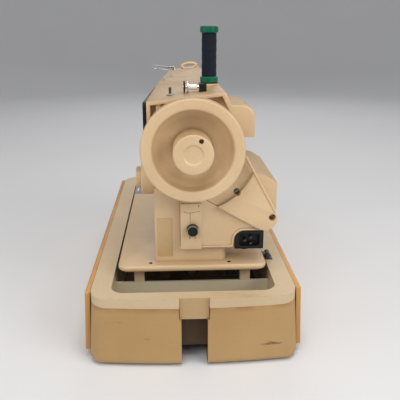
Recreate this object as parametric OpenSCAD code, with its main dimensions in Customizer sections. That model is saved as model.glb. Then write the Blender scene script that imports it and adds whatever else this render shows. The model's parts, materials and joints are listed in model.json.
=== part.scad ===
// Domestic flatbed zigzag sewing machine standing in the open base of its carrying case.
// +X points to the handwheel end, +Y to the back and +Z up.
// The origin is the centre of the base's footprint, on the floor.

/* [Case base] */
// Length of the base
base_l = 512; // [500:1:530]
// Width of the base between its side panels
base_w = 234; // [230:1:240]
// Height of the rim's top face
rim_z = 85; // [82:1:87]
// Height of the rim's lip above the seam
rim_h = 11; // [8:1:14]
// Thickness of each side panel
panel_t = 6; // [4:0.5:7]
// Outward lean of the base's sides toward the floor, in degrees
side_lean = 2.7; // [0:0.1:3]

/* [Bed] */
// Length of the bed
bed_l = 371; // [371:1:375]
// Width of the bed
bed_w = 178; // [176:1:180]
// Position of the bed's handwheel end
bed_end = 200; // [198:1:202]
// Height of the bed's top face
bed_z = 100; // [99:1:102]
// Thickness of the bed
bed_t = 8; // [7:0.5:9]

/* [Handwheel and drive] */
// Radius of the handwheel
wheel_r = 56.6; // [52:0.2:57]
// Height of the main shaft
shaft_z = 243; // [241:0.5:244]
// Radius of the main shaft
shaft_r = 6; // [5:0.5:6.5]
// Radius of the belt pulley behind the handwheel
pulley_r = 34; // [30:1:36]
// Radius of the motor pulley
motor_pulley_r = 8; // [7:0.5:9]

/* [Top of the arm] */
// Height of the reel of thread
spool_h = 67.5; // [55:0.5:75]
// Radius of the reel's flanges
spool_r = 11.1; // [9:0.1:13]

/* [Hidden] */
$fn = 48;
eps = 0.1;
run = 0.05;                       // radial running clearance
wall = 4;
bed_x0 = bed_end - bed_l;
bed_under = bed_z - bed_t;
seam_z = rim_z - rim_h;
foot_h = 1.5;
panel_l = 464;
panel_h = 74;
panel_gap = 0.3;
corner_r = 23;
corner_flare = 6;                 // how much wider the corners are at the floor
end_flare = 2.5;                  // how much further the ends reach at the floor
bow_r = 900;                      // radius of the gently bowed ends
bow_x = base_l / 2 - bow_r;       // centre of the handwheel end's bow
// The corner arcs touch the bowed ends and the sides without a crease
corner_y = base_w / 2 - corner_r;
corner_x = bow_x + sqrt(pow(bow_r - corner_r, 2) - pow(corner_y, 2));
touch_y = bow_r * corner_y / (bow_r - corner_r);
opening_x = base_l / 2 - 19;
opening_y = 94.5;
tray_floor = 18;
divider_x = 183;
post_x = [183, -150];
post_y = 65;
notch_w = 29;
latch_w = 34;
notch_z = 59;
hinge_x = [148, -120];
hinge_y = 98;
hinge_z = 90.5;
hinge_pin_r = 1.5;
hinge_half = 6.5;                 // half the length of a hinge bracket
ear_t = 2;
column_x0 = 95;
casting_end = 178;
column_end = 187;
column_front = -44;
column_back = 41;
arm_under = 215;
split_z = 268;
motor_y = 70;
motor_z = 170;
motor_end = 62;
motor_face = 190;
motor_low = 146;
guard_x0 = casting_end + 0.5;
guard_face = bed_end;
guard_recess = 194;
guard_r = 47;
guard_tip = [84.4, 157.3];
guard_tip_r = 14.2;
guard_screw_places = [[51, 189.6], [92.6, 158.8]];
guard_screw_r = 4.1;
cover_skin = 2.5;
hub_face = 241;
web_x = 172;                      // the wall across the handwheel end of the top cover
web_t = 3;
rib_y = -37;                      // the stiffening rib in front of that wall
cover_low = 120;                  // bottom, face and raised panel of the end cover
cover_face = 195;
cover_panel = 197.5;
hub_r = 21.7;
clutch_screw_place = [8.2, 14.5];
belt_x0 = 181;
belt_w = 5;
needle_x = -130;
presser_y = 16;
hook_z = 70;
hanger_x = [-90, 145];
plate_x0 = -166;
plate_x1 = -90;
plate_split = -21;
lamp_x = [-38, 57];               // the lamp hood's two ends
lamp_y = 40;
lamp_low = 225;
lamp_top = 270;
lamp_shoulder = 20;               // radius of the hood's outer shoulder
bulb_y = 70;
bulb_z = 245;
spool_x = 100;
spool_y = 24.5;
spool_z = 303;
flange_h = 8;
reel_core_r = 7.5;
winder_x = 155;
winder_z = 303.7;
dial_x = 140;
dial_z = 193;
takeup_x = -150;
takeup_pivot = [-8, 255];
takeup_eye = [-49, 305];
slider_z = [286, 265];
guide_places = [[-5, -34], [-34, -22]];
tension_x = -118;
tension_z = 240;
lifter_x = -150;
lifter_z = 200;
cream = [0.88, 0.78, 0.62];
pale = [0.84, 0.78, 0.66];
aged = [0.82, 0.69, 0.48];
amber = [0.80, 0.56, 0.30];
black = [0.08, 0.08, 0.09];
steel = [0.72, 0.72, 0.74];
dark_steel = [0.35, 0.35, 0.36];
brass = [0.70, 0.56, 0.28];
green = [0.02, 0.42, 0.28];
navy = [0.10, 0.11, 0.16];
white = [0.92, 0.92, 0.90];

// The arm tapers toward the head. Each station along X has these sides:
// [lower front y, upper front y, upper back y, lower back y]
arm_x = [column_end - 0.2, 10, bed_x0 + 4.8];
arm_y = [[-50, -50, 38, 52], [-42, -41, 32, 46], [-30, -24, 22, 34]];

// Height of the arm's sloping top at a place, which rises a little toward the head
function top_z(x, y) = 296.5 + 0.109 * y + 0.02 * (column_end - x);
function cover_section(x, y, in) = [
    [y[0] + in, split_z], [y[1] + in, top_z(x, y[1]) - in],
    [y[2] - in, top_z(x, y[2]) - in], [y[3] - in, split_z]];
function arm_section(y, in) = [
    [y[0] + in, arm_under + in], [y[0] + in, split_z], [y[3] - in, split_z], [y[3] - in, arm_under + in]];

// Where a station's section lies: the hollow runs out through the open handwheel end
function station_x(i, in) = in == 0 ? arm_x[i] : [arm_x[0] + 1, arm_x[1], arm_x[2] + in][i];

// A rod along X, Y or Z
module rod_x(x0, x1, y, z, r) translate([x0, y, z]) rotate([0, 90, 0]) cylinder(r = r, h = x1 - x0);
module rod_y(y0, y1, x, z, r) translate([x, y0, z]) rotate([-90, 0, 0]) cylinder(r = r, h = y1 - y0);
module rod_z(z0, z1, x, y, r) translate([x, y, z0]) cylinder(r = r, h = z1 - z0);

// A block between two corners
module block(x0, x1, y0, y1, z0, z1) translate([x0, y0, z0]) cube([x1 - x0, y1 - y0, z1 - z0]);

// An outline drawn in Y and Z, pulled along X
module pull_x(x0, x1) translate([x0, 0, 0]) rotate([90, 0, 90]) linear_extrude(x1 - x0) children();

// An outline drawn in X and Z, pulled along Y
module pull_y(y0, y1) translate([0, y1, 0]) rotate([90, 0, 0]) linear_extrude(y1 - y0) children();

// A rectangle with round corners
module round_rect(x0, x1, y0, y1, r) {
    translate([x0 + r, y0]) square([x1 - x0 - 2 * r, y1 - y0]);
    translate([x0, y0 + r]) square([x1 - x0, y1 - y0 - 2 * r]);
    for (x = [x0 + r, x1 - r], y = [y0 + r, y1 - r])
        translate([x, y]) circle(r);
}

// A thin slice with a YZ outline, used as one end of a tapering shell
module slice(x, points)
    translate([x, 0, 0]) rotate([90, 0, 90]) linear_extrude(eps, center = true) polygon(points);

// The tapering solids of the arm's lower casting and of the cover on top of it
module arm_solid(in)
    hull()
        for (i = [0:2])
            slice(station_x(i, in), arm_section(arm_y[i], in));

module cover_solid(in)
    hull()
        for (i = [0:2])
            slice(station_x(i, in), cover_section(arm_x[i], arm_y[i], in));

// A belt or guard outline round the main shaft and a second centre
module belt_outline(r1, c2, r2)
    hull() {
        translate([0, shaft_z]) circle(r1, $fn = 90);
        translate(c2) circle(r2, $fn = 90);
    }

// ---- case base ----

// The base's plan: round corners and gently bowed ends
module base_plan(in)
    intersection() {
        intersection_for(side = [-1, 1])
            translate([side * bow_x, 0]) circle(bow_r - in, $fn = 180);
        union() {
            square([2 * corner_x, base_w - 2 * in], center = true);
            square([base_l, 2 * touch_y], center = true);
            for (x = [-corner_x, corner_x], y = [-corner_y, corner_y])
                translate([x, y]) circle(corner_r - in);
        }
    }

// The shell's outside: its sides and ends lean outward and its corners flare toward the floor
module shell_solid() {
    low_w = base_w / 2 + (seam_z - foot_h) * tan(side_lean);
    height = seam_z - foot_h;
    intersection() {
        intersection_for(side = [-1, 1])
            translate([side * bow_x, 0, foot_h])
                cylinder(r1 = bow_r + end_flare, r2 = bow_r, h = height, $fn = 180);
        pull_x(-base_l, base_l)
            polygon([[-low_w, foot_h], [low_w, foot_h], [base_w / 2, seam_z], [-base_w / 2, seam_z]]);
        union() {
            block(-corner_x, corner_x, -base_w, base_w, 0, seam_z);
            block(-base_l, base_l, -touch_y, touch_y, 0, seam_z);
            for (x = [-corner_x, corner_x], y = [-corner_y, corner_y])
                translate([x, y, foot_h]) cylinder(r1 = corner_r + corner_flare, r2 = corner_r, h = height);
        }
    }
}

module base_shell()
    color(aged)
        difference() {
            shell_solid();
            translate([0, 0, foot_h + wall]) linear_extrude(seam_z) base_plan(wall);
            for (side = [-1, 1]) {
                translate([side * base_l / 2, 0, notch_z / 2]) cube([120, notch_w, notch_z + eps], center = true);
                translate([side * base_l / 2, 0, notch_z]) translate([-8, -latch_w / 2, 0]) cube([16, latch_w, 20]);
            }
            for (x = [-215, 215], y = [-90, 90])
                rod_z(0, 3.5, x, y, 9);
        }

module rim_tray()
    color(pale)
        difference() {
            union() {
                translate([0, 0, seam_z]) linear_extrude(rim_h) base_plan(0);
                block(-opening_x - 3, opening_x + 3, -opening_y - 3, opening_y + 3, tray_floor, seam_z);
                for (side = [-1, 1])
                    translate([side * (base_l / 2 - 10), 0, (notch_z + seam_z) / 2])
                        cube([13, latch_w - 1, seam_z - notch_z], center = true);
                bed_posts(rim_z - 1);
            }
            tray_well(tray_floor + 3);
            for (side = [-1, 1])
                translate([side * base_l / 2, 0, rim_z]) cube([7, latch_w, 3 * rim_h], center = true);
        }

// The four posts that carry the bed
module bed_posts(z0)
    for (x = post_x, y = [-post_y, post_y])
        block(x - 10, x - 0.5, y - 6, y + 6, z0, bed_under);

// The space inside the tray, less its divider and posts
module tray_well(floor_z)
    difference() {
        translate([0, 0, floor_z])
            linear_extrude(rim_z)
                round_rect(-opening_x, opening_x, -opening_y, opening_y, 16);
        block(divider_x - 3, divider_x, -base_w, base_w, 0, seam_z - 3);
        bed_posts(0);
    }

module side_panel(side)
    color(amber)
        translate([0, side * (base_w / 2 + panel_gap), rim_z - 1])
            rotate([side * side_lean, 0, 0])
                translate([0, side * panel_t / 2, -panel_h / 2])
                    cube([panel_l, panel_t, panel_h], center = true);

module front_side_panel() side_panel(-1);
module rear_side_panel() side_panel(1);

module rubber_feet()
    color(black)
        for (x = [-215, 215], y = [-90, 90])
            rod_z(0, 3.5, x, y, 8.8);

// ---- hinges that let the machine tip back out of the base ----

module hinge_brackets()
    color(dark_steel)
        for (x = hinge_x) {
            for (ear = [-hinge_half, hinge_half - ear_t])
                pull_x(x + ear, x + ear + ear_t) {
                    translate([hinge_y, hinge_z]) circle(3.2);
                    translate([hinge_y - 2.5, rim_z]) square([5, hinge_z - rim_z]);
                }
            block(x - hinge_half, x + hinge_half, hinge_y - 2.5, hinge_y + 6, rim_z, rim_z + 1.2);
            rod_x(x - hinge_half, x + hinge_half, hinge_y, hinge_z, hinge_pin_r);
        }

module hinge_arms() {
    arm_half = hinge_half - ear_t - 0.4;
    color(dark_steel)
        for (x = hinge_x)
            difference() {
                union() {
                    rod_x(x - arm_half, x + arm_half, hinge_y, hinge_z, 3.1);
                    block(x - arm_half, x + arm_half, 72, hinge_y - 1, bed_under - 4, bed_under);
                }
                rod_x(x - arm_half - 1, x + arm_half + 1, hinge_y, hinge_z, hinge_pin_r + run);
            }
}

// ---- bed ----

module bed()
    color(cream)
        difference() {
            union() {
                translate([0, 0, bed_under])
                    linear_extrude(bed_t) round_rect(bed_x0, bed_end, -bed_w / 2, bed_w / 2, 13);
                for (x = [-60, 20, 95])
                    block(x, x + 4, -70, 68, bed_under - 10, bed_under);
                for (x = hanger_x)
                    block(x, x + 6, -40, 38, hook_z - 10, bed_under);
            }
            for (y = [-50, 44])
                rod_z(bed_under - eps, bed_z + eps, bed_end - 9, y, 2.4);
            block(plate_x0 + 6, plate_x1 - 6, -84, 18, 0, bed_z + eps);
            block(plate_x0, plate_x1, -bed_w, 22, bed_z - 2, bed_z + eps);
            rod_z(0, bed_z + eps, 140, 0, 30);
            for (x = hanger_x)
                rod_x(x - 1, x + 7, 0, hook_z, shaft_r + run);
        }

module bed_feet()
    color(dark_steel)
        for (x = [168, -155])
            rod_z(74, bed_under, x, 48, 6);

module needle_plate()
    color(steel)
        difference() {
            block(plate_x0 + 0.2, plate_x1 - 0.2, plate_split + 0.2, 21.8, bed_z - 2, bed_z);
            rod_z(0, bed_z + eps, needle_x, 0, 3);
            for (x = [-9, 5])
                block(needle_x + x, needle_x + x + 4, -14, 14, 0, bed_z + eps);
        }

module slide_plate()
    color(steel)
        difference() {
            block(plate_x0 + 0.2, plate_x1 - 0.2, -bed_w / 2 + 1, plate_split - 0.2, bed_z - 1.8, bed_z - 0.1);
            rod_z(0, bed_z + eps, -128, -76, 5);
        }

module feed_dog()
    color(dark_steel) {
        block(needle_x - 10, needle_x + 10, -8, -4, bed_z - 8, bed_z - 4);
        block(needle_x - 10, needle_x + 10, 4, 8, bed_z - 8, bed_z - 4);
        for (x = [-8.5, 5.5])
            block(needle_x + x, needle_x + x + 3, -11, 11, bed_z - 6, bed_z - 0.3);
    }

// ---- arm ----

module column_plan(in)
    round_rect(column_x0 + in, casting_end - in, column_front + in, column_back - in, 9 - in);

module arm_casting()
    color(cream)
        difference() {
            union() {
                difference() {
                    arm_solid(0);
                    belt_space();
                }
                translate([0, 0, bed_z]) linear_extrude(arm_under - bed_z + 3) column_plan(0);
                block(casting_end - 5, column_end, column_front, -14.3, bed_z, 192);
                column_foot();
                block(-166, -98, -30, 34, 172, 218);
            }
            difference() {
                arm_solid(wall);
                block(169, casting_end - 1, -100, 100, 0, 400);
                block(-96, -90, -100, 100, 0, 400);
                block(needle_x - 6, needle_x + 6, -100, 100, 258, 264);
                rod_x(-163, takeup_x + 3, takeup_pivot[0], takeup_pivot[1], 2.45);
            }
            translate([0, 0, bed_z - eps]) linear_extrude(arm_under) column_plan(wall);
            block(-162, -102, -26, 30, 177, 222);
            for (x = [165, -100])
                rod_x(x, x + 15, 0, shaft_z, 10);
            rod_z(160, 265, needle_x, 0, 3.2 + run);
            rod_z(160, 265, needle_x, presser_y, 3.6 + run);
            block(takeup_x - 3, takeup_x + 3, -60, -15, 225, 300);
            rod_y(-60, -20, tension_x, tension_z, 4);
            rod_y(-60, -30, dial_x, dial_z, 4);
            rod_y(25, 60, lifter_x, lifter_z, 3.5 + run);
        }

// The column's foot, which stands on the bed under the end cover
module column_foot()
    translate([0, 0, bed_z])
        linear_extrude(19)
            round_rect(casting_end - 30, column_end, column_front, column_back, 9);

// The room for the belt, its guard and its pulleys at the handwheel end
module belt_space() {
    block(casting_end, bed_end, column_front - 2, 100, 0, 400);
    rod_x(casting_end, bed_end, 0, shaft_z, guard_r + 0.5);
}

module top_cover()
    color(cream)
        difference() {
            union() {
                cover_solid(0);
                rod_z(295, spool_z - 0.4, spool_x, spool_y, 12.5);
            }
            difference() {
                cover_solid(wall);
                block(web_x, web_x + web_t, -60, 60, split_z, 320);
                block(web_x, web_x + 12, rib_y - 2.5, rib_y + 2.5, 277, 320);
            }
            rod_x(web_x - 2, web_x + web_t + 1, -43, 273.5, 2.6);
            block(takeup_x - 3, takeup_x + 3, -60, -12, 240, 320);
            rod_z(280, 320, spool_x, spool_y, 2.5);
            rod_z(280, 320, winder_x, -23.8, 1.6);
            block(winder_x - 5, winder_x + 5, 9.5, 18, 280, 320);
            for (g = guide_places)
                rod_z(280, 320, g[0], g[1], 1.5);
            block(-152, -147, 0.4, 14, 280, 320);
        }

module face_cover()
    color(cream)
        pull_x(bed_x0, bed_x0 + 4.5)
            polygon([[-30, 172], [-30, split_z], [-24, 300], [22, 304], [34, split_z], [34, 172]]);

// The dark control panel on the arm's front, turned to follow the arm's taper
module on_panel() translate([column_end - 3, -50.8, 0]) rotate(-2.9) children();

module front_panel()
    color(black)
        on_panel()
            difference() {
                pull_y(-3.6, 0) round_rect(-168, 0, 222, 290, 4);
                for (z = slider_z)
                    block(-60, -20, -10, 1, z - 4.2, z - 1.8);
            }

module panel_slider(z)
    color(black)
        on_panel()
            translate([-30, 0, z - 3]) {
                block(-3, 3, -6.2, -3.8, -3, 3);
                block(-2, 2, -4, -0.4, -1, 1);
            }

module pattern_slider() panel_slider(slider_z[0]);
module width_slider() panel_slider(slider_z[1]);

// ---- drive covers at the handwheel end ----

module belt_guard()
    color(cream)
        difference() {
            pull_x(guard_x0, guard_face) belt_outline(guard_r, guard_tip, guard_tip_r);
            pull_x(guard_x0 - 1, guard_recess - 2)
                belt_outline(guard_r - cover_skin, guard_tip, guard_tip_r - cover_skin);
            rod_x(guard_recess, guard_face + 1, 0, shaft_z, 76);
            rod_x(guard_x0, guard_face + 1, 0, shaft_z, 24);
            for (p = guard_screw_places)
                rod_x(guard_recess - 1.5, guard_face + 1, p[0], p[1], guard_screw_r);
        }

// The guard's outline with a little air round it, which the covers next to it clear
module guard_room() belt_outline(guard_r + 0.5, guard_tip, guard_tip_r + 0.5);

module guard_screws()
    color(brass)
        for (p = guard_screw_places)
            rod_x(guard_recess - 1.5, guard_recess - 0.3, p[0], p[1], guard_screw_r - 0.1);

module motor_outline(in)
    polygon([
        [column_back + 0.5, motor_low + in], [98.5 - in, motor_low + in], [98.5 - in, 198 - in],
        [86, 206 - in], [72, 210.5 - in], [column_back + 0.5, 214.5 - in]]);

module motor_cover()
    color(cream)
        difference() {
            pull_x(motor_end, motor_face) motor_outline(0);
            difference() {
                pull_x(motor_end + cover_skin, motor_face - cover_skin) motor_outline(cover_skin);
                pull_x(casting_end - cover_skin, motor_face)
                    belt_outline(guard_r + 3, guard_tip, guard_tip_r + 3);
            }
            pull_x(casting_end, motor_face + 1) {
                guard_room();
                polygon([[0, 140], [83.5, 140], [83.5, 160.5], [60, 168], [0, 200]]);
            }
            rod_x(170, 180, motor_y, motor_z, 6);
        }

module inlet_outline(grow) {
    translate([61, 129.5]) circle(11.3 + grow);
    translate([61, 119 - grow]) square([22.8 + grow, 21.8 + 2 * grow]);
    translate([49.7 - grow, 119 - grow]) square([15, 10.5 + grow]);
}

module end_cover()
    color(cream)
        difference() {
            union() {
                pull_x(guard_x0, cover_face)
                    difference() {
                        polygon([[-14, cover_low], [83, cover_low], [83, 160], [60, 165], [-14, 196]]);
                        guard_room();
                    }
                pull_x(cover_face, cover_panel) round_rect(-14, 11, cover_low, 176, 2);
            }
            pull_x(casting_end, cover_face - cover_skin)
                polygon([[-11.5, cover_low + 2.5], [44, cover_low + 2.5], [44, 155], [-11.5, 178]]);
            pull_x(casting_end, bed_end) inlet_outline(0.3);
            rod_x(casting_end, bed_end, 0, 145, 3 + run);
        }

module power_inlet()
    color(black)
        difference() {
            pull_x(casting_end + 1, 197) inlet_outline(0);
            pull_x(188, 198) round_rect(55, 79, 122, 138, 4);
        }

module inlet_pins()
    color(steel)
        for (p = [[62.2, 128.4], [69.2, 132], [69.2, 124.6]])
            rod_x(188, 194.5, p[0], p[1], 1.4);

module rating_plate()
    color([0.78, 0.70, 0.52])
        block(column_end, column_end + 0.5, -41.6, -23.6, 107, 155.5);

// ---- lamp ----

// A hood with a round shoulder, open underneath
module lamp_outline(in) {
    low = lamp_low - (in > 0 ? 1 : 0);
    translate([lamp_y + in, low]) square([32 - in, lamp_top - in - low]);
    translate([71, low]) square([20.5 - in, lamp_top - lamp_shoulder - low]);
    translate([71.5, lamp_top - lamp_shoulder]) circle(lamp_shoulder - in);
}

module lamp_housing()
    color(cream)
        difference() {
            pull_x(lamp_x[0], lamp_x[1]) lamp_outline(0);
            difference() {
                pull_x(lamp_x[0] + cover_skin, lamp_x[1] - cover_skin) lamp_outline(cover_skin);
                block(lamp_x[0] - 2, lamp_x[1] + 3, 30, 55, 200, 300);
            }
            arm_solid(0);
            cover_solid(0);
        }

module lamp_bulb()
    color(white) {
        rod_x(-12, 40, bulb_y, bulb_z, 9);
        rod_x(40, lamp_x[1] - cover_skin, bulb_y, bulb_z, 7);
    }

// ---- fittings on top of the arm ----

module spool_pin()
    color(steel)
        rod_z(297, spool_z + spool_h - 4, spool_x, spool_y, 2.5);

module thread_spool()
    color(green)
        translate([spool_x, spool_y, spool_z])
            difference() {
                union() {
                    cylinder(r = spool_r, h = flange_h);
                    cylinder(r = reel_core_r, h = spool_h);
                    translate([0, 0, spool_h - flange_h]) cylinder(r = spool_r, h = flange_h);
                }
                translate([0, 0, -1]) cylinder(r = 2.5 + run, h = spool_h + 2);
            }

module spool_thread()
    color(navy)
        translate([spool_x, spool_y, spool_z + flange_h])
            difference() {
                cylinder(r = 9.3, h = spool_h - 2 * flange_h);
                translate([0, 0, -1]) cylinder(r = reel_core_r, h = spool_h);
            }

module top_eyelet()
    color(cream)
        translate([-152, 7, 304.3])
            rotate([6.2, 0, 0])
                pull_x(0, 5)
                    difference() {
                        union() {
                            round_rect(-14.5, 14.5, 0, 9.5, 4.7);
                            translate([-6.5, -4]) square([13, 5]);
                        }
                        round_rect(-8.5, 8.5, 2.5, 7, 2.2);
                    }

module thread_guides()
    color(steel)
        for (g = guide_places) {
            rod_z(292, top_z(g[0], g[1]) + 1, g[0], g[1], 1.5);
            rod_z(top_z(g[0], g[1]) + 0.5, top_z(g[0], g[1]) + 3, g[0], g[1], 2.4);
        }

module winder_block()
    color(black)
        difference() {
            block(winder_x - 5, winder_x + 5, 9.5, 18, 295, 307.5);
            rod_y(9, 16, winder_x, winder_z, 1.5 + run);
        }

module winder_stop()
    color(dark_steel)
        rod_z(292, 303.5, winder_x, -23.8, 1.6);

module winder_spindle()
    color(white) {
        rod_y(-9, 15, winder_x, winder_z, 1.5);
        rod_y(-3, 8.5, winder_x, winder_z, 3.2);
        rod_y(-8.5, -6, winder_x, winder_z, 6.8);
        rod_y(-4.5, -3, winder_x, winder_z, 6.8);
    }

// ---- shafts and drive ----

module shaft_bushes()
    color(brass)
        difference() {
            union() {
                rod_x(169, casting_end - 1, 0, shaft_z, 10);
                rod_x(-96, -90, 0, shaft_z, 10);
            }
            rod_x(-100, 190, 0, shaft_z, shaft_r + run);
        }

module main_shaft()
    color(steel)
        difference() {
            union() {
                rod_x(-112, 216, 0, shaft_z, shaft_r);
                rod_x(-108, -98, 0, shaft_z, 16);
                rod_x(-116, -108, 0, shaft_z + 10, 3);
            }
            rod_x(-118, -108, 0, shaft_z, 0.5);
        }

module handwheel()
    color(cream)
        difference() {
            union() {
                translate([guard_recess + 2.5, 0, shaft_z])
                    rotate([0, 90, 0])
                        rotate_extrude()
                            polygon([
                                [shaft_r, 0], [34, 0], [wheel_r - 4, 6], [wheel_r, 12], [wheel_r, 26],
                                [wheel_r - 2, 28.5], [wheel_r - 11, 28.5], [wheel_r - 13.5, 26.5],
                                [37.5, 15.5], [31, 9], [24, 6], [shaft_r, 6]]);
                rod_x(belt_x0 - 1, guard_recess + 3, 0, shaft_z, 20);
                rod_x(belt_x0 - 1, belt_x0, 0, shaft_z, pulley_r + 2);
                rod_x(belt_x0, belt_x0 + belt_w, 0, shaft_z, pulley_r - 1);
                rod_x(belt_x0 + belt_w, belt_x0 + belt_w + 1, 0, shaft_z, pulley_r + 2);
            }
            rod_x(170, 230, 0, shaft_z, shaft_r);
        }

module clutch_knob()
    color(cream)
        difference() {
            union() {
                rod_x(203, hub_face - 1.5, 0, shaft_z, hub_r);
                translate([hub_face - 1.5, 0, shaft_z])
                    rotate([0, 90, 0])
                        cylinder(r1 = hub_r, r2 = hub_r - 1.5, h = 1.5);
            }
            rod_x(202, 216.5, 0, shaft_z, shaft_r + run);
            rod_x(hub_face - 1.4, hub_face + 1, 0, shaft_z, 10.5);
            rod_x(hub_face - 7, hub_face + 1, clutch_screw_place[0], shaft_z + clutch_screw_place[1], 2.6);
        }

module clutch_screw()
    color(dark_steel)
        rod_x(hub_face - 7, hub_face - 2.2, clutch_screw_place[0], shaft_z + clutch_screw_place[1], 2.5);

module motor_body()
    color(dark_steel)
        difference() {
            rod_x(80, 168, motor_y, motor_z, 21);
            rod_x(79, 169, motor_y, motor_z, 3 + run);
        }

module motor_shaft()
    color(steel)
        rod_x(78, 189, motor_y, motor_z, 3);

module motor_pulley()
    color(dark_steel)
        difference() {
            union() {
                rod_x(belt_x0 - 1, belt_x0, motor_y, motor_z, motor_pulley_r + 1.5);
                rod_x(belt_x0, belt_x0 + belt_w, motor_y, motor_z, motor_pulley_r - 1);
                rod_x(belt_x0 + belt_w, belt_x0 + belt_w + 1, motor_y, motor_z, motor_pulley_r + 1.5);
            }
            rod_x(belt_x0 - 2, belt_x0 + belt_w + 2, motor_y, motor_z, 3);
        }

module drive_belt()
    color(black)
        pull_x(belt_x0 + 0.5, belt_x0 + belt_w - 0.5)
            difference() {
                belt_outline(pulley_r + 1.5, [motor_y, motor_z], motor_pulley_r + 1);
                belt_outline(pulley_r - 1 + 0.3, [motor_y, motor_z], motor_pulley_r - 1 + 0.3);
            }

module cog(x, z, r)
    difference() {
        rod_x(x, x + 8, 0, z, r);
        rod_x(x - 1, x + 9, 0, z, shaft_r);
    }

module upper_cog() color(dark_steel) cog(132, shaft_z, 20);
module lower_cog() color(dark_steel) cog(132, hook_z, 10);

module cog_belt()
    color(black)
        pull_x(133, 139)
            difference() {
                belt_outline(21.8, [0, hook_z], 11.8);
                belt_outline(20.3, [0, hook_z], 10.3);
            }

module lower_shaft()
    color(steel)
        rod_x(-111, 152, 0, hook_z, shaft_r);

module hook()
    color(steel)
        difference() {
            rod_x(-127, -104, 0, hook_z, 17);
            rod_x(-128, -110, 0, hook_z, 14.5);
            rod_x(-111, -103, 0, hook_z, shaft_r);
        }

module bobbin_case()
    color(steel) {
        difference() {
            rod_x(-128, -112, 0, hook_z, 13);
            rod_x(-126.5, -111, 0, hook_z, 11.5);
        }
        rod_x(-127, -113, 0, hook_z, 2.92);
        block(-131, -128, 5, 24, hook_z - 2, hook_z + 2);
        block(-131, -128, 20, 24, hook_z - 2, bed_under);
    }

module bobbin()
    color(dark_steel)
        difference() {
            rod_x(-126, -116, 0, hook_z, 10.8);
            rod_x(-130, -110, 0, hook_z, 3);
        }

// ---- needle, presser and take-up ----

module take_up_lever()
    color(steel)
        difference() {
            union() {
                rod_x(takeup_x - 1, takeup_x + 1, takeup_pivot[0], takeup_pivot[1], 6);
                rod_x(takeup_x - 1, takeup_x + 1, takeup_eye[0], takeup_eye[1], 3.6);
                pull_x(takeup_x - 1, takeup_x + 1)
                    polygon([
                        takeup_pivot + [-5, -3], [-25, 299], takeup_eye + [0, -2.4],
                        takeup_eye + [0, 2.4], [-19, 306], takeup_pivot + [5, 3]]);
            }
            rod_x(takeup_x - 2, takeup_x + 2, takeup_eye[0], takeup_eye[1], 1.4);
            rod_x(takeup_x - 2, takeup_x + 2, takeup_pivot[0], takeup_pivot[1], 2.5);
        }

module needle_bar()
    color(steel) {
        rod_z(150, 276, needle_x, 0, 3.2);
        rod_z(145, 153, needle_x, 0, 5);
    }

module needle()
    color(steel) {
        rod_z(118, 145, needle_x, 0, 0.9);
        translate([needle_x, 0, 110]) cylinder(r1 = 0.2, r2 = 0.9, h = 8);
    }

module presser_bar()
    color(steel)
        rod_z(112, 270, needle_x, presser_y, 3.6);

module presser_foot()
    color(steel) {
        rod_z(106, 112, needle_x, presser_y, 4.5);
        block(needle_x - 4, needle_x + 4, 5, 20, 102.8, 106);
        for (x = [-8, 2])
            block(needle_x + x, needle_x + x + 6, -14, 20, bed_z + 0.5, 102.8);
    }

module presser_lever()
    color(cream) {
        rod_y(26, 37, lifter_x, lifter_z, 3.5);
        rod_y(36.5, 43, lifter_x, lifter_z, 7);
        block(lifter_x, lifter_x + 40, 38.5, 43, lifter_z - 5, lifter_z + 5);
    }

module tension_dial()
    color(black) {
        rod_y(-48, -36.5, tension_x, tension_z, 15);
        rod_y(-37, -26, tension_x, tension_z, 3.9);
    }

// ---- controls on the column ----

module stitch_dial()
    color(cream) {
        rod_y(-67, -60, dial_x, dial_z, 13);
        rod_y(-61.5, column_front - 0.4, dial_x, dial_z, 21);
        rod_y(-46, -38, dial_x, dial_z, 3.9);
    }

module feed_knob()
    color(dark_steel) {
        rod_x(198, 206, 0, 145, 7);
        rod_x(186, 199, 0, 145, 3);
    }

base_shell();
rim_tray();
front_side_panel();
rear_side_panel();
rubber_feet();
hinge_brackets();
hinge_arms();
bed();
bed_feet();
needle_plate();
slide_plate();
feed_dog();
arm_casting();
top_cover();
face_cover();
front_panel();
belt_guard();
motor_cover();
end_cover();
power_inlet();
inlet_pins();
rating_plate();
guard_screws();
lamp_housing();
lamp_bulb();
spool_pin();
top_eyelet();
thread_guides();
winder_block();
winder_stop();
winder_spindle();
shaft_bushes();
motor_body();
motor_shaft();
motor_pulley();
drive_belt();
handwheel();
clutch_knob();
clutch_screw();
main_shaft();
upper_cog();
cog_belt();
lower_cog();
lower_shaft();
hook();
bobbin_case();
bobbin();
take_up_lever();
needle_bar();
needle();
presser_bar();
presser_foot();
presser_lever();
tension_dial();
stitch_dial();
feed_knob();
pattern_slider();
width_slider();
thread_spool();
spool_thread();
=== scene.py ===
"""A domestic flatbed sewing machine in the open base of its case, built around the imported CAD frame."""
import math

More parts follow.
